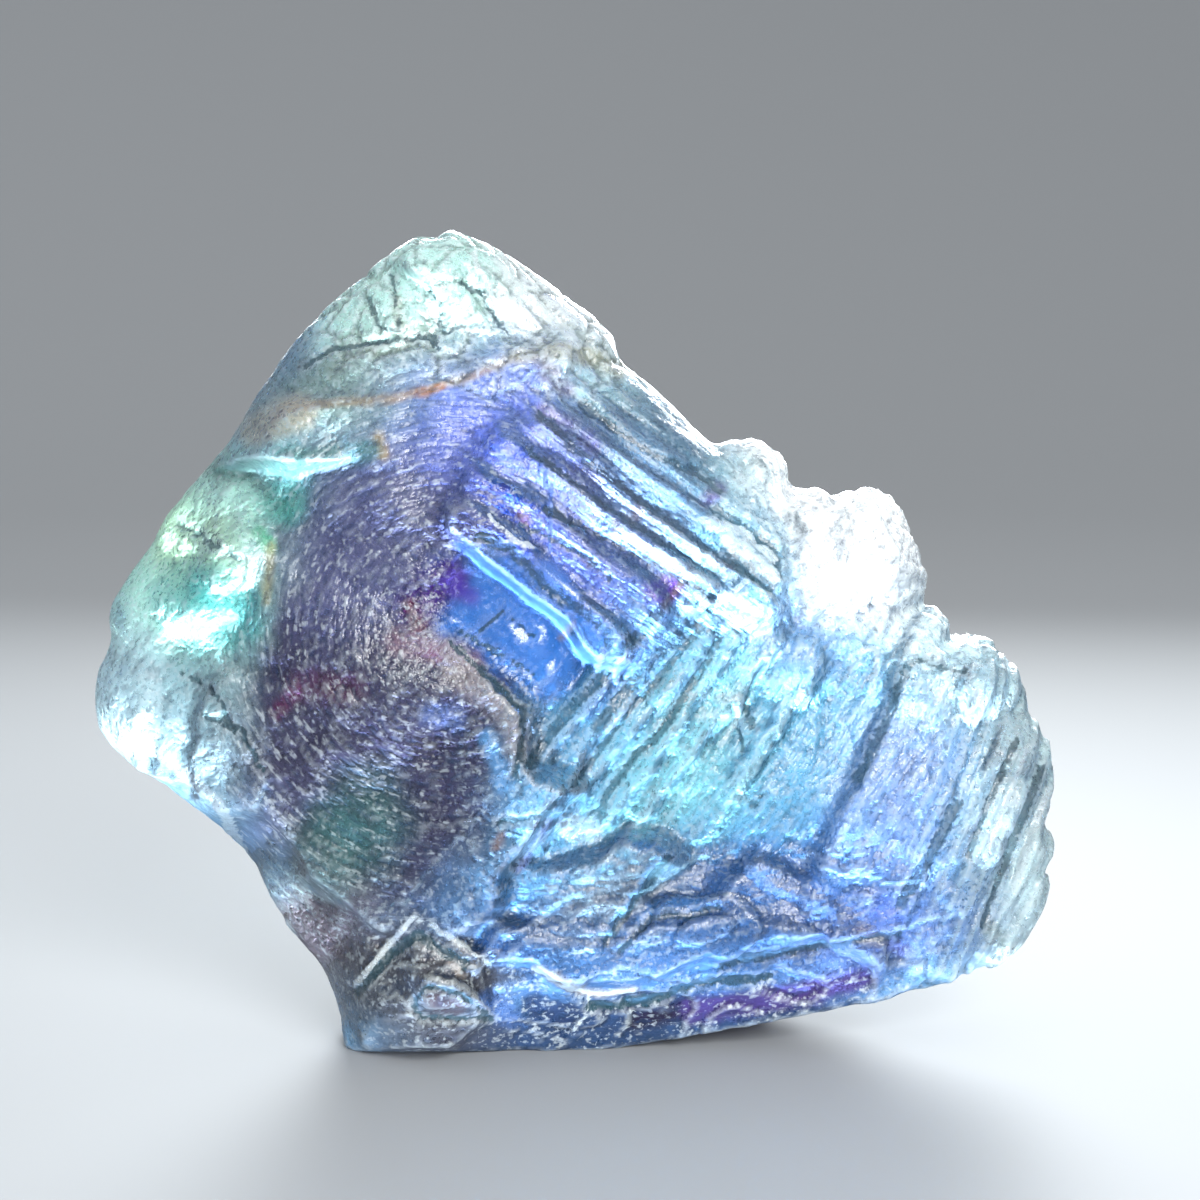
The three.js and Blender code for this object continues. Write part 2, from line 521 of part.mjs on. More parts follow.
let specimen = solid(geometryFrom(thinOut(reliefSurface(), TRIANGLES)));
for (const piece of FOOT_BLOCKS) specimen = specimen.add(piece);
for (const cut of CLEAN_BREAKS) specimen = specimen.subtract(cut);
// Joining can leave tiny sealed gaps: the outer body alone has them filled.
const outerBody = specimen.decompose().sort((a, b) => b.volume() - a.volume())[0];

const { vertProperties, triVerts } = outerBody.getMesh();
const geometry = new THREE.BufferGeometry();
geometry.setAttribute("position", new THREE.BufferAttribute(new Float32Array(vertProperties), 3));
geometry.setIndex(new THREE.BufferAttribute(new Uint32Array(triVerts), 1));
geometry.computeVertexNormals();
geometry.computeBoundingBox();
const middle = geometry.boundingBox.getCenter(new THREE.Vector3());

const fluorite = new THREE.Mesh(
  geometry,
  new THREE.MeshStandardMaterial({ color: 0x6fa6dc, roughness: 0.3, metalness: 0, transparent: true, opacity: 0.75 }),
);
fluorite.name = "fluorite";
fluorite.position.set(-middle.x, -middle.y, 0); // the origin is under the middle of the whole specimen

const specimenGroup = new THREE.Group();
specimenGroup.add(fluorite);

export default specimenGroup;
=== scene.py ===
"""A fluorite specimen on a pale studio floor, lit softly from in front and strongly from behind.

Metres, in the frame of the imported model: X to the right, Y away from the face that shows best, Z up.
Places on the crystal are given in millimetres as (x, z), as the camera sees them.
"""

import json
import math

import bpy
import numpy as np
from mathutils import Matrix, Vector, noise

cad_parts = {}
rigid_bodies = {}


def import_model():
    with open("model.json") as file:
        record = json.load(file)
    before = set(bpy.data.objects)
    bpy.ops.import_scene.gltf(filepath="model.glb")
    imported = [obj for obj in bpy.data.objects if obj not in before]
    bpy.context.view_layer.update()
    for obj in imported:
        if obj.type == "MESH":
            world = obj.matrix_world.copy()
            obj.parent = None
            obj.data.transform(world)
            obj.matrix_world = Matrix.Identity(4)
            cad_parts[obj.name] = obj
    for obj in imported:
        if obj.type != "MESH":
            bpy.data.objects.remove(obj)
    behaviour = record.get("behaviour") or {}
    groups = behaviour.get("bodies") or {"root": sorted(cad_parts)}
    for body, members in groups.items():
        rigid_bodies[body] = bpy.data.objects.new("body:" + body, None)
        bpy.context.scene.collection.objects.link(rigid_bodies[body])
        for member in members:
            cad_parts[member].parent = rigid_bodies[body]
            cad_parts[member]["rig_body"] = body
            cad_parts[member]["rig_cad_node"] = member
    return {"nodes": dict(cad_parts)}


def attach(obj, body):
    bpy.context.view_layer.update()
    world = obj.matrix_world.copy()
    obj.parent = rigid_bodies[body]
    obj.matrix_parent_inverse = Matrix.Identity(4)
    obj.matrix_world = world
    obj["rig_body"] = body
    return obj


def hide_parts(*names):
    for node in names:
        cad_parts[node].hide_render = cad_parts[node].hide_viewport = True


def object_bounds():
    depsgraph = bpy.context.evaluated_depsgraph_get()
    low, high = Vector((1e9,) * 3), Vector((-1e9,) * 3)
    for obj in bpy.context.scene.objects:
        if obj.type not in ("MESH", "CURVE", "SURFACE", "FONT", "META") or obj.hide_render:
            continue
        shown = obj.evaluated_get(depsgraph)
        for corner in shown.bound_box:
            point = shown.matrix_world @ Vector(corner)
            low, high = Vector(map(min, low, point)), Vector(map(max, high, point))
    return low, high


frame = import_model()
cad_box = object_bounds()

MM = 0.001
NODE = "fluorite"
REFRACTION = 1.434  # of fluorite

# the crystal
VOXEL = 0.40  # the size of the faces of the fine mesh, in millimetres
MERGE_DISTANCE = 0.001  # millimetres
SOFTEN_STEPS = 3  # rounds the triangles of the solid a little
SOFTEN_FACTOR = 0.5
FLAT_FOOT = 1.2  # the height above the floor over which the etched detail begins, in millimetres
WEDGE_ANGLE = -36.5  # how the cleavage ledges run, in degrees above the horizontal
FAN_ANGLE = 56  # how the ridges of the fan run
PAGES_ANGLE = 66  # how the page-like edges at the right run

# the camera, at the photograph's viewing angle
CAMERA_LENS = 85
CAMERA_SENSOR = 36
CAMERA_TILT = math.radians(8)  # above the horizontal
CAMERA_AIM = Vector((0.0019, 0, 0.0369))
CAMERA_DISTANCE = 0.100 * CAMERA_LENS / CAMERA_SENSOR  # so that 0.1 m fills the picture

# the studio
BOWL_RADIUS = 0.42
BOWL_COVE = 0.60
BOWL_STEPS = 14
BOWL_SIDES = 96
FLOOR_COLOUR = "888b8e"
FLOOR_ROUGHNESS = 0.7
ROOM_COLOUR = "f2f4f6"
ROOM_LIGHT = 1.3
PANEL_AIM = Vector((0, 0, 0.04))
# The soft lights: place, width and height, power in watts, spread in degrees, colour
PANELS = {
    "back light": ((0.03, 0.35, 0.105), (0.36, 0.10), 0.33, 42, "f4fbff"),
    "front light": ((0.17, -0.44, 0.24), (0.30, 0.24), 1.35, 80, "ffffff"),
}


def colour(code):
    """A colour code such as "82dbfb" as linear red, green, blue and alpha."""
    parts = [int(code[i:i + 2], 16) / 255 for i in (0, 2, 4)]
    return [c / 12.92 if c <= 0.04045 else ((c + 0.055) / 1.055) ** 2.4 for c in parts] + [1.0]


def select_only(item):
    """Selects this object alone and makes it active."""
    bpy.ops.object.select_all(action="DESELECT")
    item.select_set(True)
    bpy.context.view_layer.objects.active = item


def smoothstep(low, high, value):
    """0 below low, 1 above high, and smooth between them."""
    share = np.clip((value - low) / (high - low), 0, 1)
    return share * share * (3 - 2 * share)


# The crystal's shape


def seen(points):
    """Where each point shows in the picture, as x and z in millimetres at the camera's aim."""
    x, y, z = (points - np.array(CAMERA_AIM) / MM).T
    distance = CAMERA_DISTANCE / MM
    rise = z * math.cos(CAMERA_TILT) + y * math.sin(CAMERA_TILT)
    larger = distance / (distance + y * math.cos(CAMERA_TILT) - z * math.sin(CAMERA_TILT))
    return CAMERA_AIM.x / MM + x * larger, CAMERA_AIM.z / MM + rise * larger


def within(x, z, centre, reach, turn, soft):
    """How far each place (x, z) is inside an ellipse, from 0 outside to 1 inside."""
    angle = math.radians(turn)
    dx, dz = x - centre[0], z - centre[1]
    u = (dx * math.cos(angle) + dz * math.sin(angle)) / reach[0]
    v = (dz * math.cos(angle) - dx * math.sin(angle)) / reach[1]
    return 1 - smoothstep(1 - soft, 1 + soft, np.hypot(u, v))


def beside(x, z, route):
    """The distance of each place (x, z) from a broken line, in millimetres."""
    nearest = np.full(len(x), np.inf)
    for (x0, z0), (x1, z1) in zip(route, route[1:]):
        dx, dz = x1 - x0, z1 - z0
        share = np.clip(((x - x0) * dx + (z - z0) * dz) / (dx * dx + dz * dz), 0, 1)
        nearest = np.minimum(nearest, np.hypot(x - x0 - share * dx, z - z0 - share * dz))
    return nearest


def field(points, sizes, seed, make=noise.noise):
    """A noise value at each point, with lumps of one size or of a size for each axis."""
    shift = np.array([seed * 17.3, seed * 5.1, seed * 9.7])
    return np.array([make(Vector(p)) for p in points / np.array(sizes) + shift])


def between_cells(point):
    """How far a point is from the edge between two cells of a net, from 0 on it."""
    first, second = noise.voronoi(point)[0][:2]
    return second - first


def turned(points, angle):
    """The points turned in the XZ plane, so that a line at that angle runs along the first axis."""
    a = math.radians(angle)
    x, y, z = points.T
    return np.stack([x * math.cos(a) + z * math.sin(a), y, z * math.cos(a) - x * math.sin(a)], axis=1)


def ringed(points, centre, radius):
    """The points as the way round a centre, the depth, and the distance from it."""
    x, y, z = points.T
    dx, dz = x - centre[0], z - centre[1]
    return np.stack([np.arctan2(-dz, -dx) * radius, y, np.hypot(dx, dz)], axis=1)


def sawtooth(value, steep=0.2):
    """A ramp from 0 to 1 once in each unit, that falls back steeply."""
    share = value - np.floor(value)
    return np.where(share < 1 - steep, share / (1 - steep), (1 - share) / steep)


# Where each kind of surface lies: centre, reach, turn in degrees, softness of its border
SURFACES = {
    "fan": ((19, 23), (24, 18), 8, 0.3),
    "lobes": ((23.5, 42), (14, 8), -38, 0.3),
    "pages": ((36, 19), (7, 17), -12, 0.4),
    "lower": ((9, 8.5), (22, 7), 5, 0.3),
    "flank": ((-31, 38), (12, 19), 20, 0.3),
    "crown": ((-9, 61), (16, 7.6), -12, 0.2),
    "wedge": ((4, 44), (14.5, 9.5), -36, 0.25),
    "mass": ((-16, 33), (13, 23), -14, 0.25),
    "foot": ((-14, 4.6), (8, 6), 0, 0.3),
    "window": ((-4.5, 35.6), (7.6, 4.4), -38, 0.15),
}
BORDER_WANDER = (1.3, 0.6)  # how far their borders wander in broad and in fine waves, in millimetres
EDGE_RAGGED = 0.25  # how ragged the drawn edges and spots are, in millimetres

# How the grain runs there, in degrees above the horizontal, and how long and wide its strokes are
GRAIN = {
    "fan": (FAN_ANGLE, 1.7, 0.55),
    "lobes": (20, 0.8, 0.6),
    "pages": (PAGES_ANGLE, 7.0, 0.7),
    "lower": (12, 2.6, 1.0),
    "flank": (38, 1.6, 0.8),
    "crown": (-50, 1.3, 0.9),
    "wedge": (WEDGE_ANGLE, 3.4, 0.5),
    "foot": (30, 1.6, 1.2),
}
GRAIN_ELSEWHERE = 20  # degrees
WRINKLE_CENTRE = (-10, 36)  # the wrinkles of the front crystal run round this place
WRINKLE_RADIUS = 12  # where the wrinkles have the length that is given, in millimetres
WRINKLE_SIZE = (1.5, 0.5)

# How wide the etched detail is, or how far apart, in millimetres
DENT_SIZE = 2.6
HUMMOCK_SIZE = 1.1
LEDGE_SPACING = 1.25
RIDGE_SPACING = 3.1
LEAF_SPACING = 1.5
CRACK_SPACING = 3.2
SCALLOP_SPACING = 2.4
TERRACES = 2.6  # how many steps the terraces take over the range of their noise
GRAIN_SIZE = 1.1  # in strokes of the grain

# How high the etched detail stands, in millimetres
DENT_RISE = 0.10
LEDGE_RISE = 0.18
RIDGE_RISE = 0.36
LEAF_RISE = 0.35
TERRACE_RISE = 0.50
CRACK_DEPTH = 0.25
SCALLOP_DEPTH = 0.25
GROOVE_DEPTH = 0.22
CREST_RISE = 0.14

# Values that hold everywhere, and how much is added to them on some kinds of surface
ETCHED = {"everywhere": 1, "window": -0.9}  # how much of the dents, the hummocks and the grain there is
HUMMOCK_RISE = {"everywhere": 0.05, "fan": 0.10, "lobes": 0.10}  # millimetres
GRAIN_RISE = {"everywhere": 0.05, "mass": 0.07, "fan": 0.04}  # millimetres
BEND_HIGHLIGHT = {"everywhere": 0.45, "wedge": -0.35, "lower": -0.25, "mass": -0.25}  # how strong the painted highlight on crests is
BEND_SHADE = {"everywhere": 0.5, "lobes": -0.3, "pages": -0.2}  # how strong the painted shade in hollows is
BEND_LIGHTING = {"everywhere": 1, "window": -0.8}  # how much of both the painted highlight and the painted shade there is
CLEAREST = 0.92
CLOUDIEST = 0.1
CLEAR = {  # the share of light that is let through
    "everywhere": CLEAREST,
    "mass": -0.32,
    "foot": -0.3,
    "lobes": -0.35,
    "pages": -0.1,
    "window": -0.25,
    "crown": -0.2,
}
CLOUDY = 0.75  # how much less clear the crystal is close to the floor
CLOUDY_HEIGHTS = (3, 8)  # millimetres

# Edges of ledges, grooves and cracks, sunk a little and darkened with painted shade: how wide, and the way
# they run
GROOVES = {
    "first ledge": (0.7, [(-3.1, 52.4), (0.8, 48.6), (5.2, 45.3), (10.6, 41.5), (12.9, 40.1), (16, 37.8)]),
    "second ledge": (0.6, [(-4, 49.4), (1, 45.7), (4.8, 43.2), (10, 40.1), (12.7, 38.6), (15.4, 36.7)]),
    "third ledge": (0.6, [(-2.5, 44.4), (1.6, 42.6), (5.2, 40.7), (8.5, 38.8), (11.9, 36.7), (14.8, 35.1)]),
    "fourth ledge": (0.5, [(-4.8, 43.2), (-1.9, 41.9), (1, 40.3), (2.7, 38.6)]),
    "ledge over the window": (
        0.8,
        [(-8.1, 42.1), (-5.4, 41.1), (-2.7, 38.2), (0.6, 35.7), (2.5, 34.2), (2.7, 33)],
    ),
    "top ledge": (0.6, [(0.2, 53.2), (3.5, 50.9), (6.4, 49), (9.8, 47.6), (11.9, 46.1)]),
    "rim of the bright ledges": (0.6, [(11.4, 44.6), (13.9, 43), (16.2, 41.5), (17.1, 39), (16.4, 38)]),
    "line in the bright ledges": (0.5, [(10.4, 43), (12.7, 41.1), (14.8, 39.4), (16.4, 38)]),
    "scallop": (
        0.4,
        [(12.1, 36.9), (10.6, 35.7), (10.2, 34.9), (11.9, 34.2), (13.9, 34.4), (15.6, 35.3), (15.8, 36.5)],
    ),
    "window crack": (0.4, [(-9.9, 34.4), (-3.7, 30.8)]),
    "fine window crack": (0.3, [(-8.3, 34.1), (-6.2, 35.9), (-3.4, 33.7)]),
    "first bar": (
        0.9,
        [(7.1, 36.3), (5.2, 34), (3.3, 32.6), (1.9, 30.3), (-0.2, 28.2), (-2.3, 25.7), (-3.8, 23.2)],
    ),
    "second bar": (1.0, [(9.4, 36.7), (9.8, 35.3), (7.1, 32.6), (5.2, 30.5), (3.3, 28.4), (1.7, 26.3)]),
    "third bar": (0.55, [(10.2, 34.4), (6, 29.6), (3.1, 26.3), (2.5, 25.3), (-0.2, 21.5)]),
    "fourth bar": (
        0.65,
        [(12, 34), (10.8, 31.7), (9, 29.2), (6.9, 25.7), (5.2, 24.4), (2.5, 20.7), (1.9, 18.6)],
    ),
    "fan crack": (0.3, [(11.9, 29.4), (12.9, 27.4), (13.8, 25.1), (13.6, 23.8)]),
    "low fan crack": (0.3, [(13.3, 21.1), (14.6, 19.4), (15.4, 20.7)]),
    "fan groove": (0.5, [(15.6, 31.9), (14.6, 29.6), (14.1, 27.8), (14.6, 26.3)]),
    "long right groove": (0.8, [(27.7, 31.7), (26, 27.5), (24.3, 23.7), (23.2, 22)]),
    "low right groove": (0.9, [(31.6, 19.9), (29.8, 16.4), (27.7, 12.9), (27, 11.2)]),
    "shoulder crack": (0.4, [(28.4, 32), (29.8, 31.2), (32.3, 31)]),
    "page edge": (0.5, [(36.4, 25), (34.2, 20), (32.6, 15.6)]),
    "outer page edge": (0.5, [(38.6, 23), (36.6, 17.8), (35, 13.6), (33.6, 9.6)]),
    "chip line": (0.4, [(-1.2, 18.4), (0.4, 19), (1.7, 19.2)]),
    "step by the chip": (0.4, [(-6.5, 18.4), (-3.1, 18.8), (-1.5, 20.3)]),
    "low diagonal": (0.5, [(-2.3, 19.4), (-3.8, 16.7), (-5.2, 14.8)]),
    "first terrace": (0.6, [(2.4, 8.3), (5.2, 12.2), (7.7, 15.5)]),
    "second terrace": (0.5, [(3.5, 7.5), (6, 10.3), (9.9, 10.8), (11.9, 11.4)]),
    "low right terrace": (0.6, [(12, 6.4), (17, 7.6), (22, 8.2), (27, 9.2)]),
    "underside line": (0.7, [(1, 3), (5.8, 3.4), (10, 5), (16, 5.4)]),
    "foot hollow": (0.8, [(-18.4, 4.2), (-15.6, 7.4), (-13.4, 9), (-9.4, 6.6)]),
    "facet edge": (0.4, [(-13.7, 3.3), (-12.6, 4.7), (-9.8, 4.1), (-7, 1.9), (-13.1, 2.1), (-13.7, 3.3)]),
    "crown line": (0.4, [(-9.8, 63.3), (-8.1, 62.8), (-7, 60.8), (-5.6, 58.9)]),
    "crown cracks left": (0.35, [(-17.6, 62.2), (-16.5, 59.7), (-14.8, 59.4), (-15.1, 61.6), (-15.6, 64.1)]),
    "crown cracks middle": (0.35, [(-12.8, 63.3), (-11.5, 61.4), (-11.2, 59.1), (-8.4, 60)]),
    "crown's lower edge": (0.4, [(-22.8, 56.4), (-20.6, 57.8), (-18.4, 58.3), (-12, 58.9), (-11.2, 57.5)]),
    "flank crease": (0.5, [(-33.4, 43.4), (-31.5, 42.2), (-28.1, 40.3)]),
    "leaf edge": (0.4, [(-33, 31), (-30, 29), (-28.5, 25.4)]),
    "low leaf edge": (0.4, [(-31.4, 27.4), (-28, 26), (-26.2, 22.6)]),
    "torn edge": (0.5, [(-10.5, 33.4), (-6.6, 29.8), (-4.4, 27.4), (-4.6, 24.6), (-5.2, 22)]),
}

# Edges and treads, raised a little and lightened with painted highlights: how wide, and the way they run
CRESTS = {
    "white ledge": (1.1, [(12.7, 41.9), (16.6, 38.8)]),
    "mint ledge": (0.7, [(10.4, 43.6), (13.5, 42.6), (16.4, 40.5)]),
    "pale tread": (0.5, [(5.4, 44.6), (9.8, 41.5), (12.3, 39.3)]),
    "lilac tread": (0.5, [(3.4, 42.8), (6.4, 41.1), (9.8, 39), (14.8, 35.9)]),
    "bright low tread": (0.4, [(9.8, 37.4), (11.6, 36.4), (14.2, 38.6), (16, 37.2)]),
    "edge over the window": (0.4, [(-7.4, 43.9), (-5.6, 41.9), (-3.9, 41.2)]),
    "white bar": (0.6, [(4.6, 28.6), (3.3, 27.2), (2.5, 26.1)]),
    "bright chip": (1.9, [(-0.6, 17.9), (1, 17.6)]),
    "star": (0.5, [(13.5, 28.8), (13.3, 27), (12, 24.8)]),
    "crown ledge": (0.9, [(-6.5, 65.3), (-4.8, 62.8), (-2, 60.3), (0, 58.3)]),
    "inner crown ledge": (0.4, [(-8.7, 65.8), (-7, 61.9), (-5.3, 59.4), (-3.1, 58.6)]),
    "upper right edge": (0.6, [(8.6, 51.8), (11.4, 49.6)]),
    "right of the fan": (0.4, [(23.2, 32.6), (25.2, 33), (24.4, 29.2)]),
    "page": (0.5, [(37.4, 24.6), (35.4, 19.4), (34, 15.6)]),
    "outer page": (0.6, [(39, 21), (37.6, 16.8), (36.4, 12.6)]),
    "low crest": (0.35, [(-3.4, 6.1), (-1.5, 5.3), (0.8, 4.1), (4.7, 4.4)]),
    "low spur": (0.25, [(0.8, 3.9), (0.8, 2.5), (-0.3, 1.1)]),
    "foot ridge": (0.4, [(-18.4, 5), (-15.3, 8.6), (-13.7, 10.5), (-11.7, 9.7), (-9.2, 7.9), (-7.3, 6.6)]),
    "left edge chips": (0.9, [(-37, 25.6), (-34, 23.6), (-29.6, 19.6), (-27.6, 15)]),
    "low left edge chips": (0.9, [(-24.4, 9.8), (-22.4, 6.2)]),
}
FAR = 9.0  # a place this many half widths from a stroke is not touched by it


def graded(share, everywhere, **added):
    """A value that holds everywhere, with more or less of it on some kinds of surface."""
    value = everywhere
    for name, change in added.items():
        value = value + change * share[name]
    return value


def stroke_distance(x, z, routes):
    """How far each place is from the nearest of the strokes, in half widths of the stroke."""
    nearest = np.full(len(x), FAR)
    for width, route in routes.values():
        nearest = np.minimum(nearest, beside(x, z, route) * 2 / width)
    return nearest


def wandering(points, near, first_seed):
    """Places on one axis, moved so that the borders of zones wander."""
    broad = BORDER_WANDER[0] * field(points, (4.5, 9, 4.5), first_seed)
    fine = BORDER_WANDER[1] * field(points, (1.4, 4, 1.4), first_seed + 1)
    return near + broad + fine


def surface_shares(x, z, front):
    """How much of each kind of surface there is at each point, from 0 to 1."""
    share = {name: within(x, z, *where) for name, where in SURFACES.items()}
    for name in ("wedge", "mass"):
        share[name] *= 1 - share["window"]
    share["fan"] *= (1 - share["wedge"]) * (1 - share["lower"])
    share["window"] *= front
    return share


def grain_of(points, share):
    """Each point along the grain, in depth and across the grain, in strokes."""
    grain = turned(points, GRAIN_ELSEWHERE)
    for name, (angle, length, width) in GRAIN.items():
        straight = turned(points, angle) / (length, length, width)
        grain = np.where(share[name][:, None] > 0.5, straight, grain)
    length, width = WRINKLE_SIZE
    round_centre = ringed(points, WRINKLE_CENTRE, WRINKLE_RADIUS) / (length, length, width)
    return np.where(share["mass"][:, None] > 0.5, round_centre, grain)


def cleavage(points):
    """Repeating steps and cracks at each point, each as a value from 0 to 1."""
    ledges, ridges, leaves = (turned(points, angle) for angle in (WEDGE_ANGLE, FAN_ANGLE, PAGES_ANGLE))
    return {
        "ledges": sawtooth(ledges[:, 2] / LEDGE_SPACING + 0.5 * field(ledges, (14, 8, 3), 4)),
        "ridges": sawtooth(ridges[:, 2] / RIDGE_SPACING + 0.7 * field(ridges, (16, 9, 5), 6)),
        "leaves": sawtooth(leaves[:, 2] / LEAF_SPACING + 0.5 * field(leaves, (12, 8, 4), 7)),
        "terraces": sawtooth(TERRACES * field(points, (9, 9, 4.5), 9), 0.12),
        "cracks": 1 - smoothstep(0.02, 0.15, field(points, CRACK_SPACING, 8, between_cells)),
        "scallops": 1 - smoothstep(0.02, 0.3, field(points, SCALLOP_SPACING, 10, between_cells)),
        "broken": np.clip(0.5 + 0.9 * field(ridges, (7, 7, 2.5), 5), 0, 1),
    }


def relief(points, share, steps, grain, groove, crest):
    """The height of the etched detail at each point of the surface, in millimetres."""
    height = DENT_RISE * field(points, DENT_SIZE, 1)
    height += graded(share, **HUMMOCK_RISE) * field(points, HUMMOCK_SIZE, 2)
    # wrinkles over the front crystal, short strokes elsewhere
    height += graded(share, **GRAIN_RISE) * field(grain, GRAIN_SIZE, 3)
    height *= graded(share, **ETCHED)
    height += LEDGE_RISE * share["wedge"] * steps["ledges"]
    height += RIDGE_RISE * share["fan"] * steps["broken"] * steps["ridges"]
    height += LEAF_RISE * share["pages"] * steps["leaves"]
    height += TERRACE_RISE * share["lower"] * (steps["terraces"] - 0.5)
    height -= CRACK_DEPTH * share["crown"] * steps["cracks"]
    height -= SCALLOP_DEPTH * share["lobes"] * steps["scallops"]
    height -= GROOVE_DEPTH * (1 - smoothstep(0.6, 1.5, groove))
    height += CREST_RISE * (1 - smoothstep(0.6, 1.4, crest))
    return height


def read_mesh(mesh):
    """The places and the normals of the mesh's points."""
    places = np.empty(len(mesh.vertices) * 3)
    normals = np.empty(len(mesh.vertices) * 3)
    mesh.vertices.foreach_get("co", places)
    mesh.vertex_normals.foreach_get("vector", normals)
    return places.reshape(-1, 3), normals.reshape(-1, 3)


def model_crystal():
    """The crystal: a copy of the solid, made fine enough for its etched detail."""
    node = frame["nodes"][NODE]
    crystal = node.copy()
    crystal.data = node.data.copy()
    crystal.name = "fluorite_crystal"
    crystal.parent = None
    bpy.context.scene.collection.objects.link(crystal)
    for key in ("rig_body", "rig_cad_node"):  # these mark the node itself, not its copy
        if key in crystal:
            del crystal[key]
    select_only(crystal)
    bpy.ops.object.mode_set(mode="EDIT")
    bpy.ops.mesh.select_all(action="SELECT")
    bpy.ops.mesh.remove_doubles(threshold=MERGE_DISTANCE * MM)
    bpy.ops.object.mode_set(mode="OBJECT")

    remesh = crystal.modifiers.new("fine", "REMESH")
    remesh.mode = "VOXEL"
    remesh.voxel_size = VOXEL * MM
    bpy.ops.object.modifier_apply(modifier=remesh.name)
    soften = crystal.modifiers.new("soften", "SMOOTH")
    soften.factor = SOFTEN_FACTOR
    soften.iterations = SOFTEN_STEPS
    bpy.ops.object.modifier_apply(modifier=soften.name)
    bpy.ops.object.shade_smooth()
    return crystal


# The crystal's colours

# Zones of colour, laid over each other in this order: colour, centre, reach, turn, softness, strength
GROUND = "88c4f4"
ZONES = {
    "fan azure": ("7cd4ff", (16, 24), (27, 19), 10, 0.5, 1.0),
    "fan cyan": ("a0f8ff", (9, 24.5), (10, 5), 55, 0.6, 0.9),
    "fan lilac": ("a2b4ff", (26, 19), (5, 10), -20, 0.7, 0.7),
    "fan lilac top": ("a0bcff", (17, 35), (6, 3), -30, 0.7, 0.7),
    "fan blue foot": ("5694ec", (16, 14), (14, 4), 8, 0.7, 0.7),
    "fan pale lobes": ("fbffff", (22.5, 43), (14, 7), -36, 0.35, 1.0),
    "fan pale shoulder": ("d8fbff", (33, 31), (7, 5), -40, 0.6, 0.8),
    "right pages": ("e6fffc", (38, 18), (5, 16), -8, 0.5, 0.85),
    "flank aqua": ("c8ffec", (-31, 41), (11, 12), 50, 0.4, 1.0),
    "horn white": ("e0fdff", (-38.5, 28), (4.5, 8), 0, 0.5, 0.9),
    "flank yellow green": ("dcfcb8", (-31.5, 40.5), (3, 4), 40, 0.7, 0.7),
    "flank cyan": ("48d4cc", (-29.5, 36), (3, 3.6), 30, 0.6, 0.9),
    "leaves grey": ("b4d4d2", (-29, 26), (6, 6), 40, 0.5, 0.8),
    "crown mint": ("ccfcf0", (-9, 61.4), (16, 9), -15, 0.3, 1.0),
    "crown right": ("f6ffff", (0, 60.5), (8, 5), -42, 0.4, 1.0),
    "shoulder grey green": ("8ca494", (-14, 54.6), (15, 4.2), 5, 0.5, 0.95),
    "shoulder dark green": ("8cb0a6", (-17, 51), (6, 3), 12, 0.7, 0.8),
    "wedge violet blue": ("7088f0", (-4, 45), (13, 11), -36, 0.4, 1.0),
    "wedge top green": ("bcf0f6", (6.5, 50.8), (10, 3.6), -38, 0.5, 0.9),
    "wedge sky": ("90ccf4", (8, 45), (9, 4), -38, 0.5, 0.8),
    "bright ledges": ("74b0cc", (14, 41), (4, 4.4), 60, 0.6, 0.8),
    "mass smoky": ("36344e", (-16, 29), (12.5, 21), -10, 0.3, 1.0),
    "mass upper grey": ("565a80", (-18, 42), (8, 8), 30, 0.5, 0.85),
    "mass dark": ("2a2842", (-13, 21), (9, 10), -30, 0.6, 0.85),
    "window blue": ("387cd8", (-4.4, 34.8), (8.4, 4.8), -34, 0.2, 1.0),
    "lower blue": ("3c6cb0", (8, 9), (22, 7), 6, 0.4, 0.9),
    "underside navy": ("16284e", (6, 0.4), (26, 3.4), 5, 0.3, 0.95),
    "lower khaki": ("6f7f88", (3, 12.6), (6, 3), 20, 0.6, 0.8),
    "lower right slate": ("5268ac", (26, 9), (9, 4), 12, 0.6, 0.7),
    "left mauve": ("66565e", (-22, 10), (5, 5), 0, 0.6, 1.0),
    "left dark teal": ("33625e", (-19, 17.5), (4, 5), -40, 0.6, 0.75),
    "foot taupe": ("3c3737", (-13, 5), (8, 6), 0, 0.4, 0.95),
}

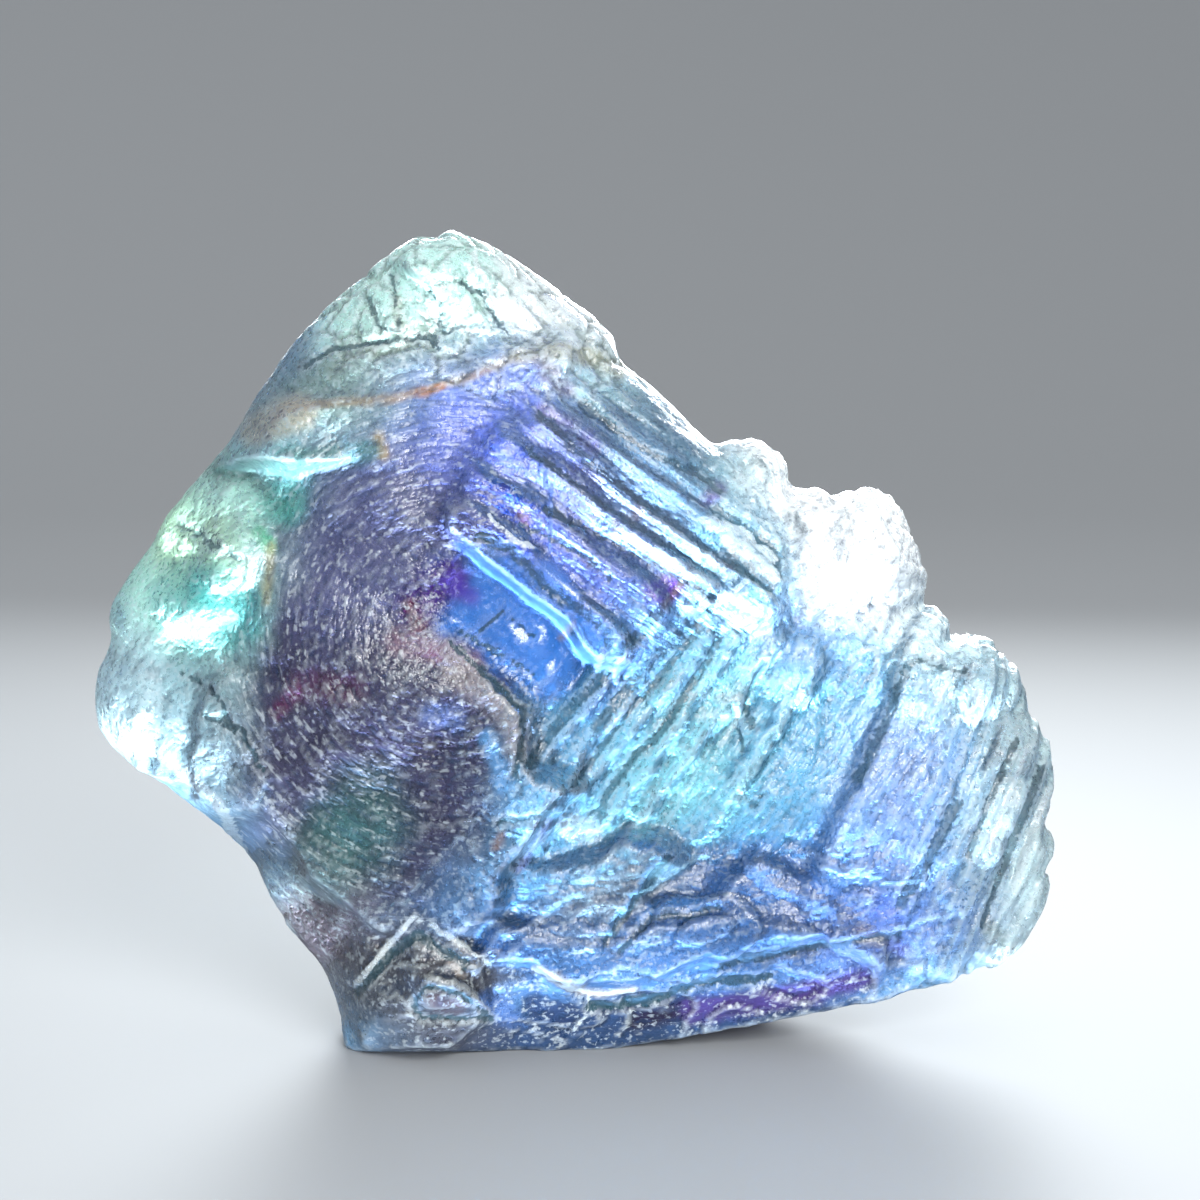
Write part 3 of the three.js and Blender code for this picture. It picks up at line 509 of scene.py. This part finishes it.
# Streaks and spots of colour: colour, width, strength, and the way they run
STAINS = {
    "teal core": ("4cb8a4", 5.0, 0.8, [(-24.2, 47.8), (-24.6, 45)]),
    "green rim": ("58c48c", 1.6, 0.7, [(-26.6, 42.4), (-25.6, 41.4)]),
    "ochre rim": ("a8a070", 1.0, 0.7, [(-25.5, 41.4), (-26, 36.6)]),
    "ochre seam": (
        "b4905c",
        1.0,
        0.7,
        [(-24.5, 53), (-15.9, 53.6), (-11.2, 54.8), (-7.6, 56.1), (-4.8, 57.3)],
    ),
    "rust in the seam": ("b87020", 0.9, 0.9, [(-13.1, 54.1), (-11.2, 54.8)]),
    "tan band": ("b4aa80", 2.2, 0.75, [(-4.8, 57.3), (-2, 57.8), (1.3, 57.2), (3.5, 56.1)]),
    "peach facets": ("f4dcb4", 3.6, 0.85, [(-27, 51.1), (-23.1, 52.6)]),
    "ochre patch": ("b09860", 1.3, 0.8, [(-16.5, 50.5), (-16.2, 48.9)]),
    "mauve fleck": ("a88ca8", 2.0, 0.7, [(-2.8, 56.6), (-0.9, 54.4)]),
    "crown stain": ("a49c74", 1.0, 0.6, [(-15.1, 62.5), (-14.8, 59.6)]),
    "dull edge of the window": ("2c5c94", 1.6, 0.85, [(-9.5, 41.6), (-1.3, 36.2), (0.3, 33)]),
    "dull teal edge": ("4f8078", 2.8, 0.85, [(-29.5, 47.6), (-23.5, 48.5), (-17.5, 49.4)]),
    "purple spot": ("2c0464", 5.2, 1.0, [(-13.2, 36.6), (-10.7, 38.8)]),
    "purple run": ("5238b4", 2.2, 0.7, [(-10.5, 38.5), (-8.9, 37.1)]),
    "maroon edge": ("540826", 1.7, 0.9, [(-14, 36.4), (-13.2, 34.7)]),
    "pink sheet": ("846878", 3.0, 0.8, [(-14.9, 33.4), (-11.6, 32.9), (-8.9, 31.7)]),
    "red fleck": ("702c50", 1.1, 0.8, [(-12.2, 32.4), (-11.8, 31.9)]),
    "taupe sheet": ("948a8a", 2.6, 0.85, [(-10.3, 31.1), (-7.4, 28.8), (-5.4, 26.8), (-5, 24.6)]),
    "wine patch": ("4c2444", 3.4, 0.8, [(-23, 29.7), (-18.8, 29.5)]),
    "dark wine": ("582448", 1.7, 0.8, [(-25, 27.6), (-23.4, 29.4)]),
    "blue in the smoke": ("5068a4", 2.6, 0.7, [(-12.1, 27.4), (-10.3, 26.9)]),
    "sky by the tear": ("62a0d8", 1.8, 0.8, [(-7.4, 25.4), (-6.1, 21.6)]),
    "violet spot": ("7c10e8", 3.2, 1.0, [(6.8, 37.6), (7.9, 38.3)]),
    "rust by the violet": ("a44c24", 0.9, 0.9, [(7.3, 36.5), (8.9, 38.6)]),
    "high violet": ("8466e0", 2.2, 0.8, [(0.8, 50.3), (1.2, 49.6)]),
    "violet wash": ("7458cc", 2.4, 0.6, [(0.2, 47.8), (1.4, 46.7)]),
    "mauve streak": ("a488b8", 1.6, 0.7, [(-2.9, 52.6), (-0.4, 51.5)]),
    "salmon ledge spot": ("b47060", 1.0, 0.8, [(5.3, 44.8), (4.8, 43.7)]),
    "plum ledge spot": ("703c94", 1.9, 0.85, [(10.8, 45.1), (11.9, 46.3)]),
    "right plum spot": ("7c3c94", 1.8, 0.85, [(12.2, 40.3), (12.7, 39.9)]),
    "right rust spot": ("a0603c", 0.9, 0.8, [(13, 41), (13.2, 40.3)]),
    "middle salmon": ("bc8484", 1.0, 0.7, [(9.4, 39.8), (9.5, 39)]),
    "left salmon": ("a87890", 1.1, 0.7, [(-4.6, 44.2), (-4.2, 43.4)]),
    "ochre fleck": ("b8905c", 0.8, 0.8, [(0.8, 40.2), (1.2, 39.9)]),
    "brown line": ("84786a", 0.7, 0.7, [(-0.2, 34.9), (-1.5, 33.6)]),
    "mauve corner": ("86628a", 1.2, 0.8, [(9.2, 36.5), (10, 35.3)]),
    "sky plate": ("62a4f2", 1.8, 0.8, [(5.6, 33.2), (2.9, 29.6), (1, 27.6)]),
    "low rust": ("945c3c", 1.0, 0.8, [(-6.2, 17.5), (-6.7, 16.4)]),
    "azure step": ("459eea", 1.6, 0.9, [(-6.5, 13.4), (-5.5, 11.9)]),
    "lilac bar": ("8890e0", 1.0, 0.8, [(-4.9, 14.6), (-2.4, 18.4)]),
    "first terrace face": ("4a9ce6", 0.9, 0.9, [(0.2, 10), (2.2, 8.9), (5.2, 12.8), (6.6, 15), (7.7, 15.8)]),
    "upper terrace face": ("4a9ce6", 0.8, 0.9, [(3.3, 16.6), (5.2, 16.4), (7.2, 16.1)]),
    "right terrace face": ("4a9ce6", 1.0, 0.9, [(5.2, 10), (6.3, 11.4), (8.5, 11.6), (10.2, 11.4)]),
    "navy hollow": ("161f3e", 2.8, 0.9, [(-3.6, 3.2), (-0.8, 2.8)]),
    "low blue face": ("3a6cb4", 2.4, 0.85, [(-7.5, 8.4), (-3.7, 6.8)]),
    "blue toe": ("486fb4", 2.4, 0.85, [(-7.2, 3.4), (-5.6, 2.2)]),
    "near black plum": ("140a26", 2.2, 1.0, [(4.8, 1.8), (9.4, 2.9)]),
    "plum underside": ("463078", 2.8, 0.95, [(9.7, 2.7), (13.5, 3.2), (18, 4.0), (24, 5.4)]),
    "cream crest": ("e4d6c0", 0.8, 0.85, [(-3.4, 6.1), (-1.5, 5.3), (0.8, 4.1), (4.7, 4.4)]),
    "foot facet": ("5c4648", 2.0, 0.8, [(-12, 3.4), (-10, 3)]),
    "cream fleck": ("dccfc0", 0.8, 0.85, [(-10.6, 6.4), (-9.6, 5.8)]),
    "right blue spot": ("5476e0", 2.4, 0.8, [(25.3, 11.6), (26.4, 11.2)]),
    "low right plum": ("54487c", 1.8, 0.8, [(23.6, 9.1), (27.4, 7.7)]),
    "olive end": ("84948a", 2.0, 0.8, [(34.3, 9.5), (35.7, 8.1)]),
}

PAINTED_HIGHLIGHT = "f4ffff"  # painted highlight on crests, on etched strokes and on specks
PAINTED_SHADE = "16304c"  # painted shade in pits, on etched strokes and on specks
BODY_TINT = "8fb4ec"  # the colour that light takes on in thick crystal
BODY_DENSITY = 12.0  # for each metre

# Colours of the etched detail, and their strengths: cracks and leaves in tints of their own, painted shade
# in grooves and on the steep sides of steps, painted highlights on crests
CRACK_TINT = ("8a9c84", 0.40)
LEAF_TINT = ("7cb0b0", 0.50)
GROOVE_SHADE = ("2c4a52", 0.80)
CREST_HIGHLIGHT = (PAINTED_HIGHLIGHT, 0.65)
SHADED_WALLS = {"wedge": (WEDGE_ANGLE, "3a5c68"), "fan": (FAN_ANGLE, "28567c")}  # painted shade on the steep sides of steps
WALL_SHADE = 0.65

# Painted highlights and painted shade on the etched strokes and specks: the noise value where they begin,
# the one where they are full, and their strength
STROKE_HIGHLIGHTS = (0.58, 0.64, 0.32)
STROKE_SHADE = (0.43, 0.36, 0.40)
SPECK_HIGHLIGHTS = (0.58, 0.68, 0.40)
SPECK_SHADE = (0.41, 0.33, 0.25)
EDGE_REACH = (1.25, 0.85)  # where a drawn edge ends and where it is full, in its half widths
SPECKLE_SIZE = 0.42  # millimetres
STROKE_SIZE = 0.8  # in strokes of the grain

# The etched surface
SMOOTHEST = 0.22
ROUGHEST = 0.42
WINDOW_POLISH = 0.14  # how much less rough the window is
UNDER_ROUGH = 0.55  # how much rougher the underside is
BUMP_HEIGHT = 0.25  # millimetres
BUMP_STRENGTH = 0.6


def lay_over(tint, code, share):
    """Mixes a colour over the tint by a share at each point."""
    tint += share[:, None] * (np.array(colour(code)) - tint)


def zone_tint(x, z, near_x, near_z, front):
    """The colour of the crystal at each point, from its zones and stains."""
    tint = np.tile(colour(GROUND), (len(x), 1))
    for name, (code, centre, reach, turn, soft, strength) in ZONES.items():
        side = front if name == "window blue" else 1
        lay_over(tint, code, strength * side * within(x, z, centre, reach, turn, soft))
    for code, width, strength, route in STAINS.values():
        away = beside(near_x, near_z, route) * 2 / width
        lay_over(tint, code, strength * front * (1 - smoothstep(0.3, 1.2, away)))
    return tint


def bend_of(mesh, places, normals):
    """How much each point stands out from its neighbours, in millimetres."""
    ends = np.empty(len(mesh.edges) * 2, dtype=np.int32)
    mesh.edges.foreach_get("vertices", ends)
    a, b = ends.reshape(-1, 2).T
    both, other = np.concatenate([a, b]), np.concatenate([b, a])
    count = np.bincount(both, minlength=len(places))
    middle = [np.bincount(both, weights=places[other, i], minlength=len(places)) / count for i in range(3)]
    return ((places - np.stack(middle, axis=1)) * normals).sum(axis=1) / MM


def shade_detail(tint, mesh, share, steps):
    """Colours the etched detail: cracks and leaves in tints of their own, painted shade on the steep walls
    of ledges and in hollows, and painted highlights on crests.
    """
    places, normals = read_mesh(mesh)
    code, strength = CRACK_TINT
    lay_over(tint, code, strength * share["crown"] * steps["cracks"])
    code, strength = LEAF_TINT
    lay_over(tint, code, strength * share["pages"] * smoothstep(0.7, 0.95, steps["leaves"]))
    # painted shade on the steep walls of steps, by which way they face
    for name, (angle, code) in SHADED_WALLS.items():
        across = np.abs(turned(normals, angle)[:, 2])
        lay_over(tint, code, WALL_SHADE * share[name] * smoothstep(0.35, 0.6, across))
    # painted highlights on crests and painted shade in hollows, by how much each point stands out
    bend = bend_of(mesh, places, normals)
    bend_lighting = graded(share, **BEND_LIGHTING)
    lay_over(tint, PAINTED_HIGHLIGHT, graded(share, **BEND_HIGHLIGHT) * bend_lighting * smoothstep(0.010, 0.05, bend))
    tint[:, :3] *= 1 - (graded(share, **BEND_SHADE) * bend_lighting * smoothstep(0.008, 0.05, -bend))[:, None]


def clearness(share, z):
    """How much light each point lets through, from 0 to 1."""
    cloudy = CLOUDY * (1 - smoothstep(*CLOUDY_HEIGHTS, z)) * (1 - share["foot"])
    return np.clip(graded(share, **CLEAR) - cloudy, CLOUDIEST, CLEAREST)


def etch_crystal(crystal):
    """Raises the etched detail, and keeps the colours and the grain in the mesh for the material."""
    mesh = crystal.data
    places, normals = read_mesh(mesh)
    points = places / MM
    near_x, near_z = seen(points)
    x, z = wandering(points, near_x, 21), wandering(points, near_z, 23)
    ragged = EDGE_RAGGED * field(points, 0.9, 25)
    near_x, near_z = near_x + ragged, near_z + ragged

    front = 1 - smoothstep(-0.1, 0.3, normals[:, 1])  # the drawn edges and spots are on the front
    share = surface_shares(x, z, front)
    groove = stroke_distance(near_x, near_z, GROOVES) + FAR * (1 - front)
    crest = stroke_distance(near_x, near_z, CRESTS) + FAR * (1 - front)
    steps = cleavage(points)
    grain = grain_of(points, share)

    height = relief(points, share, steps, grain, groove, crest)
    height *= smoothstep(0.0, FLAT_FOOT * MM, places[:, 2])  # the face that it stands on stays flat
    low, high = (np.array(corner) for corner in cad_box)
    places = np.clip(places + normals * (height * MM)[:, None], low, high)
    mesh.vertices.foreach_set("co", places.ravel())
    mesh.update()

    tint = zone_tint(x, z, near_x, near_z, front)
    shade_detail(tint, mesh, share, steps)
    # the tint holds the zones' colours together with the painted shade and highlights of the etched detail
    mesh.color_attributes.new("tint", "FLOAT_COLOR", "POINT").data.foreach_set("color", tint.ravel())
    mesh.attributes.new("grain", "FLOAT_VECTOR", "POINT").data.foreach_set("vector", grain.ravel())
    places, normals = read_mesh(mesh)
    held = {
        "window": share["window"],
        "mass": share["mass"],
        "groove": groove,
        "crest": crest,
        "clear": clearness(share, near_z),
        "matt": smoothstep(0.3, 0.8, -normals[:, 2]),  # underneath it doesn't mirror the floor
    }
    for name, value in held.items():
        mesh.attributes.new(name, "FLOAT", "POINT").data.foreach_set("value", value)


class Nodes:
    """Adds shader nodes to a material and links them."""

    def __init__(self, name):
        self.material = bpy.data.materials.new(name)
        self.material.use_nodes = True
        self.tree = self.material.node_tree
        self.tree.nodes.clear()

    def put(self, socket, value):
        """Links an output to the socket, or sets the socket's own value."""
        if isinstance(value, bpy.types.NodeSocket):
            self.tree.links.new(value, socket)
        else:
            socket.default_value = value

    def add(self, kind, settings=(), **inputs):
        """A node of this kind, with attributes of its own and with values or links for its inputs."""
        node = self.tree.nodes.new("ShaderNode" + kind)
        for key, value in dict(settings).items():
            setattr(node, key, value)
        for key, value in inputs.items():
            self.put(node.inputs[key.replace("_", " ")], value)
        return node

    def math(self, operation, a, b=0.0):
        """One operation on one or two values."""
        node = self.add("Math", {"operation": operation})
        self.put(node.inputs[0], a)
        self.put(node.inputs[1], b)
        return node.outputs[0]

    def product(self, *values):
        """Several values multiplied."""
        result = values[0]
        for value in values[1:]:
            result = self.math("MULTIPLY", result, value)
        return result

    def mix(self, share, low, high):
        """Two colours mixed by a share."""
        node = self.add("Mix", {"data_type": "RGBA"})
        for socket, value in zip((0, 6, 7), (share, low, high)):
            self.put(node.inputs[socket], value)
        return node.outputs[2]

    def ramp(self, value, low, high, start=0.0, end=1.0):
        """The value's way from low to high as a share from start to end."""
        node = self.add("MapRange", Value=value, From_Min=low, From_Max=high, To_Min=start, To_Max=end)
        return node.outputs[0]

    def held(self, name, output="Fac"):
        """A value that the mesh holds."""
        return self.add("Attribute", {"attribute_name": name}).outputs[output]

    def noise(self, place, size, detail=2.0):
        """A noise value from 0 to 1, with lumps of the given size in the place's own unit."""
        return self.add("TexNoise", Vector=place, Scale=1 / size, Detail=detail).outputs[0]


def crystal_material():
    """See-through fluorite: tinted in zones, with painted highlights and painted shade on etched strokes and
    specks, painted shade along the edges of ledges and painted highlights on treads.
    """
    n = Nodes("fluorite")
    here = n.add("TexCoord").outputs["Object"]
    tint = n.held("tint", "Color")
    speckle = n.noise(here, SPECKLE_SIZE * MM)
    strokes = n.noise(n.held("grain", "Vector"), STROKE_SIZE, 1.5)
    plain = n.ramp(n.held("window"), 0.0, 1.0, 1.0, 0.12)  # the window is hardly etched
    # specks are fewer on the smoky crystal and underneath
    specked = n.product(plain, *(n.ramp(n.held(name), 0.0, 1.0, 1.0, 0.25) for name in ("mass", "matt")))

    def marked(tint, code, value, marks, *shares):
        """The tint with marks of a colour laid over it, where the value says."""
        begin, full, strength = marks
        return n.mix(n.product(n.ramp(value, begin, full), *shares, strength), tint, colour(code))

    # short strokes along the grain and etched specks, with painted highlights and painted shade
    tint = marked(tint, PAINTED_HIGHLIGHT, strokes, STROKE_HIGHLIGHTS, n.ramp(speckle, 0.44, 0.54), plain)
    tint = marked(tint, PAINTED_SHADE, strokes, STROKE_SHADE, plain)
    tint = marked(tint, PAINTED_HIGHLIGHT, speckle, SPECK_HIGHLIGHTS, specked)
    tint = marked(tint, PAINTED_SHADE, speckle, SPECK_SHADE, specked)
    # painted shade along the drawn edges and painted highlights on the treads, with a ragged border
    ragged = n.ramp(speckle, 0.3, 0.7, -0.35, 0.35)
    groove = n.math("ADD", n.held("groove"), ragged)
    crest = n.math("ADD", n.held("crest"), ragged)
    for distance, (code, strength) in ((groove, GROOVE_SHADE), (crest, CREST_HIGHLIGHT)):
        tint = n.mix(n.ramp(distance, *EDGE_REACH, 0.0, strength), tint, colour(code))

    height = n.math("ADD", n.product(speckle, plain, 0.8), n.product(strokes, plain, 1.2))
    bump = n.add("Bump", Height=height, Strength=BUMP_STRENGTH, Distance=BUMP_HEIGHT * MM)
    rough = n.ramp(speckle, 0.35, 0.65, SMOOTHEST, ROUGHEST)
    rough = n.math("SUBTRACT", rough, n.product(n.held("window"), WINDOW_POLISH))
    rough = n.math("ADD", rough, n.product(n.held("matt"), UNDER_ROUGH))
    shader = n.add("BsdfPrincipled", Base_Color=tint, Roughness=rough, Normal=bump.outputs[0])
    shader.inputs["IOR"].default_value = REFRACTION
    n.put(shader.inputs["Transmission Weight"], n.held("clear"))
    absorb = n.add("VolumeAbsorption", Color=colour(BODY_TINT), Density=BODY_DENSITY)
    out = n.add("OutputMaterial")
    n.put(out.inputs["Surface"], shader.outputs[0])
    n.put(out.inputs["Volume"], absorb.outputs[0])
    return n.material


# The studio


def plain_material(name, code, roughness):
    """A plain matt material."""
    n = Nodes(name)
    shader = n.add("BsdfPrincipled", Base_Color=colour(code), Roughness=roughness)
    out = n.add("OutputMaterial")
    n.put(out.inputs["Surface"], shader.outputs[0])
    return n.material


def build_bowl():
    """A pale floor that curves up into a wall all round."""
    bpy.ops.mesh.primitive_circle_add(vertices=BOWL_SIDES, radius=BOWL_RADIUS, fill_type="NGON")
    bowl = bpy.context.object
    bowl.name = "studio_floor"
    bpy.ops.object.mode_set(mode="EDIT")
    bpy.ops.mesh.select_all(action="SELECT")
    bpy.ops.mesh.region_to_loop()
    radius, height = BOWL_RADIUS, 0.0
    for step in range(1, BOWL_STEPS + 1):
        angle = math.pi / 2 * step / BOWL_STEPS
        wider = BOWL_RADIUS + BOWL_COVE * math.sin(angle)
        higher = BOWL_COVE * (1 - math.cos(angle))
        bpy.ops.mesh.extrude_edges_move(TRANSFORM_OT_translate={"value": (0, 0, higher - height)})
        bpy.ops.transform.resize(value=(wider / radius, wider / radius, 1), center_override=(0, 0, 0))
        radius, height = wider, higher
    bpy.ops.object.mode_set(mode="OBJECT")
    bpy.ops.object.shade_smooth()
    bowl.data.materials.append(plain_material("pale floor", FLOOR_COLOUR, FLOOR_ROUGHNESS))


def add_panel(name, place, size, power, spread, code):
    """A soft rectangular light, turned to the crystal."""
    data = bpy.data.lights.new(name, "AREA")
    data.shape = "RECTANGLE"
    data.size, data.size_y = size
    data.energy = power
    data.spread = math.radians(spread)
    data.color = colour(code)[:3]
    panel = bpy.data.objects.new(name, data)
    panel.location = place
    panel.rotation_euler = (PANEL_AIM - Vector(place)).to_track_quat("-Z", "Y").to_euler()
    panel.visible_camera = False
    bpy.context.scene.collection.objects.link(panel)


def light_studio():
    """A soft light behind the crystal, a softer one in front, and a pale room."""
    for name, settings in PANELS.items():
        add_panel(name, *settings)
    world = bpy.data.worlds.new("studio")
    world.use_nodes = True
    background = world.node_tree.nodes["Background"]
    background.inputs["Color"].default_value = colour(ROOM_COLOUR)
    background.inputs["Strength"].default_value = ROOM_LIGHT
    bpy.context.scene.world = world
    scene = bpy.context.scene
    scene.view_settings.view_transform = "Standard"
    # enough bounces for one clear piece on a matt floor
    scene.cycles.max_bounces = 8
    scene.cycles.diffuse_bounces = 2
    scene.cycles.transmission_bounces = 6
    scene.cycles.caustics_reflective = False
    scene.cycles.use_light_tree = False


def place_camera():
    """The camera, at the photograph's viewing angle."""
    data = bpy.data.cameras.new("camera")
    data.lens = CAMERA_LENS
    data.sensor_width = CAMERA_SENSOR
    data.clip_start = 0.01
    camera = bpy.data.objects.new("camera", data)
    back = Vector((0, -math.cos(CAMERA_TILT), math.sin(CAMERA_TILT)))
    camera.location = CAMERA_AIM + CAMERA_DISTANCE * back
    camera.rotation_euler = (CAMERA_AIM - camera.location).to_track_quat("-Z", "Y").to_euler()
    bpy.context.scene.collection.objects.link(camera)
    bpy.context.scene.camera = camera


place_camera()
crystal = model_crystal()
etch_crystal(crystal)
crystal.data.materials.clear()
crystal.data.materials.append(crystal_material())
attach(crystal, "root")
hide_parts(NODE)
build_bowl()
light_studio()
